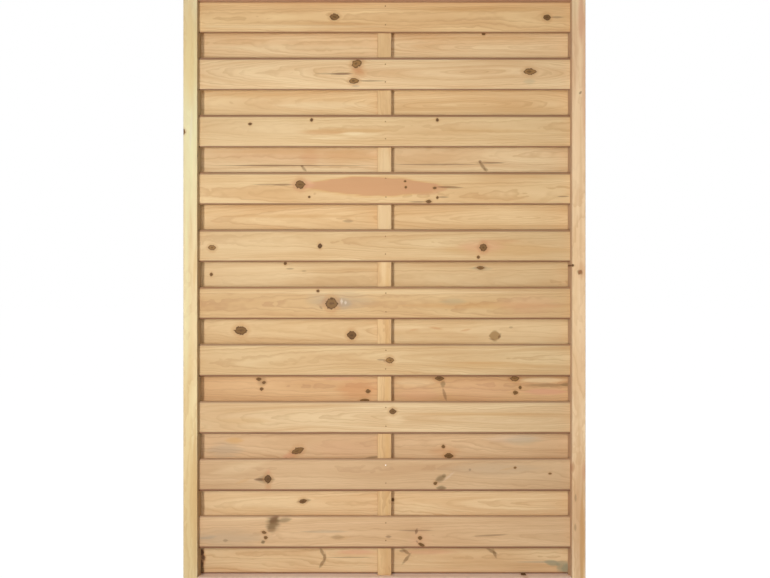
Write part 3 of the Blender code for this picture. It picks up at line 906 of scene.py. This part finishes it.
# Rail tones: pinkish, and painted paler as painted light, the bottom rail's most
PINK_AND_PAINTED_LIGHT = ("f2cdae", "e4b692", "c08c64")
PALER_PINK_AND_PAINTED_LIGHT = ("fae6d4", "f0d2bc", "d2a88c")
# Painted shade on the stiles' inner sides, the rails' lower edges and the batten's edges:
# where the brown starts and is full, in millimetres from the edge, and how strong it is
NO_SHADE = (1.0, 0.0, 0.0)
FRAME_SHADE = (1.2, 0.2, 0.45)
RIGHT_STILE_SHADE = (3.4, 0.8, 0.58)
BATTEN_SHADE = (1.2, 0.2, 0.30)
for name, axes, log, tones, edges in (
    ("top_rail", LAYING, (4, 60, 3.8, 0.01, 41.3), PINK_AND_PAINTED_LIGHT, (NO_SHADE, FRAME_SHADE)),
    ("bottom_rail", LAYING, (-5, 55, 4.0, 0.02, 43.1), PALER_PINK_AND_PAINTED_LIGHT, (NO_SHADE, FRAME_SHADE)),
    ("left_stile", UPRIGHT, (-12, 70, 3.4, 0.015, 51.7), SAPWOOD, (FRAME_SHADE, NO_SHADE)),
    ("right_stile", UPRIGHT, (10, 64, 3.6, 0.02, 57.2), WARM_SAPWOOD, (NO_SHADE, RIGHT_STILE_SHADE)),
    ("middle_batten", UPRIGHT, (3, 58, 3.2, 0.01, 61.9), HONEY, (BATTEN_SHADE, BATTEN_SHADE)),
):
    boards[name].material_slots[0].material = pine_material(name, axes, log, tones, edges)
print(len(boards), "boards have their own material")

# %% [markdown]
# ## Nails
#
# Each slat is nailed to the batten with two nails, about 20 mm and 24 mm from its edges. A nail
# head is a low dome, 4 mm wide, and the machine has driven it just down to the wood. All the heads
# of one layer are one mesh, because they are all alike.
#
# The heads are steel. Resin from the pine has dried on them and stained them a dull brown, and
# only one is new: its zinc plating is still bright. Both finishes are a metal that is mottled by
# noise, and where the resin lies thick the stained one is darker and smoother.

# %% The nails' steel
# Spots in the box around all the heads of a layer, finer than the picture shows: what is seen of
# them is their mean tone
MOTTLE_SCALE = 900.0
steels = {}
for name, dark, light, smooth, rough in (
    ("resin_stained_steel", "8a6844", "b08c60", 0.45, 0.7),
    ("bright_zinc_plated_steel", "f2eee4", "fffdf6", 0.2, 0.2),
):
    steels[name] = bpy.data.materials.new(name)
    steels[name].use_nodes = True
    tree = steels[name].node_tree
    surface = tree.nodes["Principled BSDF"]
    surface.inputs["Metallic"].default_value = 1.0
    surface.inputs["Roughness"].default_value = smooth
    mottle = add(tree, "TexNoise", {}, {"Scale": MOTTLE_SCALE, "Detail": 2.0})
    tone = add(tree, "Mix", COLOUR_MIX, {0: mottle, MIX_A: linear(dark), MIX_B: linear(light)})
    tree.links.new(tone.outputs[MIX_RESULT], surface.inputs["Base Color"])
    if rough > smooth:
        dull = add(tree, "MapRange", {}, {"Value": mottle, "To Min": smooth, "To Max": rough})
        tree.links.new(dull.outputs[0], surface.inputs["Roughness"])
print("nail finishes:", ", ".join(steels))

# %% Nail heads
NAIL_RADIUS = 2.0 * MM
NAIL_DOME = 0.5 * MM
NAIL_SIDES = 14
NAIL_RINGS = ((1.0, -0.6), (1.0, 0.15), (0.8, 0.55), (0.45, 0.85))  # shares of radius and dome
NAIL_FROM_TOP, NAIL_FROM_BOTTOM = 20 * MM, 24 * MM
NAIL_RIGHT = 3.5 * MM  # the nails stand to the right of the batten's middle
ASTRAY_ACROSS, ASTRAY_UP = 1, 1.5  # how many millimetres a nail is off its place
FACES_PER_NAIL = len(NAIL_RINGS) * NAIL_SIDES + 1
BRIGHT_NAIL = 16  # of the front layer, counted from 0 at the panel's top


def nail_heads(name, layer, outward):
    """The nail heads of one layer of slats, as one piece."""
    dice = random.Random(name)
    turns = [math.tau * i / NAIL_SIDES for i in range(NAIL_SIDES)]
    shape = bmesh.new()
    for slat in layer:
        low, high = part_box(slat)
        face = high.y if outward > 0 else low.y
        for z in (high.z - NAIL_FROM_TOP, low.z + NAIL_FROM_BOTTOM):
            x = (batten_low.x + batten_high.x) / 2 + NAIL_RIGHT
            centre = Vector((x + dice.uniform(-ASTRAY_ACROSS, ASTRAY_ACROSS) * MM, face,
                             z + dice.uniform(-ASTRAY_UP, ASTRAY_UP) * MM))
            rings = []
            for share, rise in NAIL_RINGS:
                rings.append([shape.verts.new(centre + Vector((
                    share * NAIL_RADIUS * math.cos(turn),
                    outward * rise * NAIL_DOME,
                    share * NAIL_RADIUS * math.sin(turn)))) for turn in turns])
            join_rings(shape, rings)
            shape.faces.new(rings[0])
            tip = shape.verts.new(centre + Vector((0, outward * NAIL_DOME, 0)))
            for i in range(NAIL_SIDES):
                shape.faces.new((rings[-1][i], rings[-1][(i + 1) % NAIL_SIDES], tip))
    mesh = finished_mesh(name, shape)
    mesh.materials.append(steels["resin_stained_steel"])
    nails = put_in_scene(name, mesh)
    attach(nails, "root")
    return nails


for side, layer in slats.items():
    nails = nail_heads(f"{side}_nails", layer, OUTWARD[side])
    if side == "front":
        nails.data.materials.append(steels["bright_zinc_plated_steel"])
        first = BRIGHT_NAIL * FACES_PER_NAIL
        for face in nails.data.polygons[first : first + FACES_PER_NAIL]:
            face.material_index = 1
    print(nails.name, len(nails.data.polygons), "faces")

# %% [markdown]
# ## The camera
#
# The photograph looks straight at the panel, from about half its height and from about 2.1 m in
# front of it. That distance follows from how much of the stiles' inner sides shows beside the back
# slats. The picture is 770 pixels wide, and the panel's 1200 mm cover 402.5 of them.

# %% Set up the camera
IMAGE_WIDTH_PX = 770
PANEL_WIDTH_PX = 402.5
PANEL_MIDDLE_PX = (384.45, 288.6)
IMAGE_MIDDLE_PX = (385.0, 289.0)
CAMERA_DISTANCE = 2.1
SENSOR_WIDTH_MM = 36.0

metres_per_px = panel_width / PANEL_WIDTH_PX
camera_data = bpy.data.cameras.new("camera")
camera_data.sensor_width = SENSOR_WIDTH_MM
camera_data.lens = SENSOR_WIDTH_MM * CAMERA_DISTANCE / (IMAGE_WIDTH_PX * metres_per_px)
camera = put_in_scene("camera", camera_data)
camera.location = (
    panel_middle.x + (IMAGE_MIDDLE_PX[0] - PANEL_MIDDLE_PX[0]) * metres_per_px,
    panel_low.y - CAMERA_DISTANCE,
    panel_middle.z - (IMAGE_MIDDLE_PX[1] - PANEL_MIDDLE_PX[1]) * metres_per_px,
)
camera.rotation_euler = (math.radians(90), 0, 0)
bpy.context.scene.camera = camera
print("lens:", round(camera_data.lens, 1), "mm")

# %% [markdown]
# ## Light
#
# The stiles' shadows on the slats fall to the right, deepest on the back slats, so the main light
# is a soft box to the left of the camera at half the panel's height. It is narrow, which keeps
# those shadows crisp, and 1 m tall, which softens the ones that a slat throws on the next. It is
# aimed far past the panel, so that its light doesn't fall off from the left stile to the right one.
#
# A wide soft light around the camera opens the shadows. It stands above the middle and shines down
# on the upper edges of the lower slats. A third light behind the panel serves the views from
# there. Lamp energies are worked out so that all of them together light the panel at about level
# 1, at which a colour shows about as it is written.

# %% Lamps
LAMPS = {
    # name: place, point it is aimed at, width and height, level at the panel's middle
    "key_softbox": ((-0.36, -1.85, 0.0), (3.7, 0.0, 0.0), (0.22, 1.0), 0.67),
    "front_fill": ((0.7, -2.7, 0.8), (0.6, 0.0, 0.0), (2.2, 2.0), 0.27),
    "back_fill": ((0.6, 3.6, 0.0), (0.6, 0.0, 0.0), (1.6, 1.6), 0.45),
}
for name, (place, aim, size, level) in LAMPS.items():
    place, aim = Vector(place), Vector(aim)
    lamp_data = bpy.data.lights.new(name, "AREA")
    lamp_data.shape = "RECTANGLE"
    lamp_data.size, lamp_data.size_y = size
    to_panel = panel_middle - place
    off_axis = math.cos(to_panel.angle(aim - place))
    # what reaches the panel falls with the square of the distance, and off the lamp's axis
    lamp_data.energy = level * math.pi**2 * to_panel.length_squared / off_axis
    lamp = put_in_scene(name, lamp_data)
    lamp.location = place
    lamp.rotation_euler = (aim - place).to_track_quat("-Z", "Y").to_euler()
    lamp.visible_camera = False
    print(name, round(lamp_data.energy, 1), "W")

# %% [markdown]
# The world is white where the camera sees it, directly, in a reflection or through glass, and gives
# only a little light of its own. The Light Path node tells those rays apart.

# %% World
FILL_LEVEL = 0.15
WHITE = (1, 1, 1, 1)


def seen_by_camera(tree):
    """1 for what the camera sees directly, in a reflection or through glass, and 0 for the rest."""
    path = add(tree, "LightPath")
    seen = path.outputs["Is Camera Ray"]
    for ray in ("Is Glossy Ray", "Is Transmission Ray"):
        seen = add(tree, "Math", {"operation": "MAXIMUM"}, {0: seen, 1: path.outputs[ray]})
    return seen


world = bpy.data.worlds.new("studio")
world.use_nodes = True
bpy.context.scene.world = world
tree = world.node_tree
strength = add(tree, "MapRange", {}, {
    "Value": seen_by_camera(tree), "To Min": FILL_LEVEL, "To Max": 1.0})
background = tree.nodes["Background"]
background.inputs["Color"].default_value = WHITE
tree.links.new(strength.outputs[0], background.inputs["Strength"])
print("the world adds a level of", FILL_LEVEL)

# %% [markdown]
# The floor is white paper. Seen directly it glows at about level 1, and a matt share keeps the
# panel's soft shadow.

# %% Floor
FLOOR_HALF = 30.0
FLOOR_SHADOW = 0.10  # the share of the floor's look that is lit, and so can be shaded
FLOOR_GLOW = 1.1
PAPER = (0.8, 0.8, 0.8, 1)
floor_mesh = bpy.data.meshes.new("floor")
corners = [(x * FLOOR_HALF, y * FLOOR_HALF, 0) for x, y in ((-1, -1), (1, -1), (1, 1), (-1, 1))]
floor_mesh.from_pydata(corners, [], [(0, 1, 2, 3)])
floor = put_in_scene("floor", floor_mesh)
floor.location = (panel_middle.x, 0, panel_low.z)
paper = bpy.data.materials.new("white_paper")
paper.use_nodes = True
tree = paper.node_tree
share = add(tree, "Math", TIMES, {0: seen_by_camera(tree), 1: 1 - FLOOR_SHADOW})
glow = add(tree, "Emission", {}, {"Color": WHITE, "Strength": FLOOR_GLOW})
matt = add(tree, "BsdfDiffuse", {}, {"Color": PAPER})
mixed = add(tree, "MixShader", {}, {0: share, 1: matt, 2: glow})
tree.links.new(mixed.outputs[0], tree.nodes["Material Output"].inputs["Surface"])
floor_mesh.materials.append(paper)
print("floor at", round(floor.location.z, 3), "m")

# %% [markdown]
# ## Finish
#
# The Standard view shows colours as they are written.

# %% Finish
bpy.context.scene.view_settings.view_transform = "Standard"
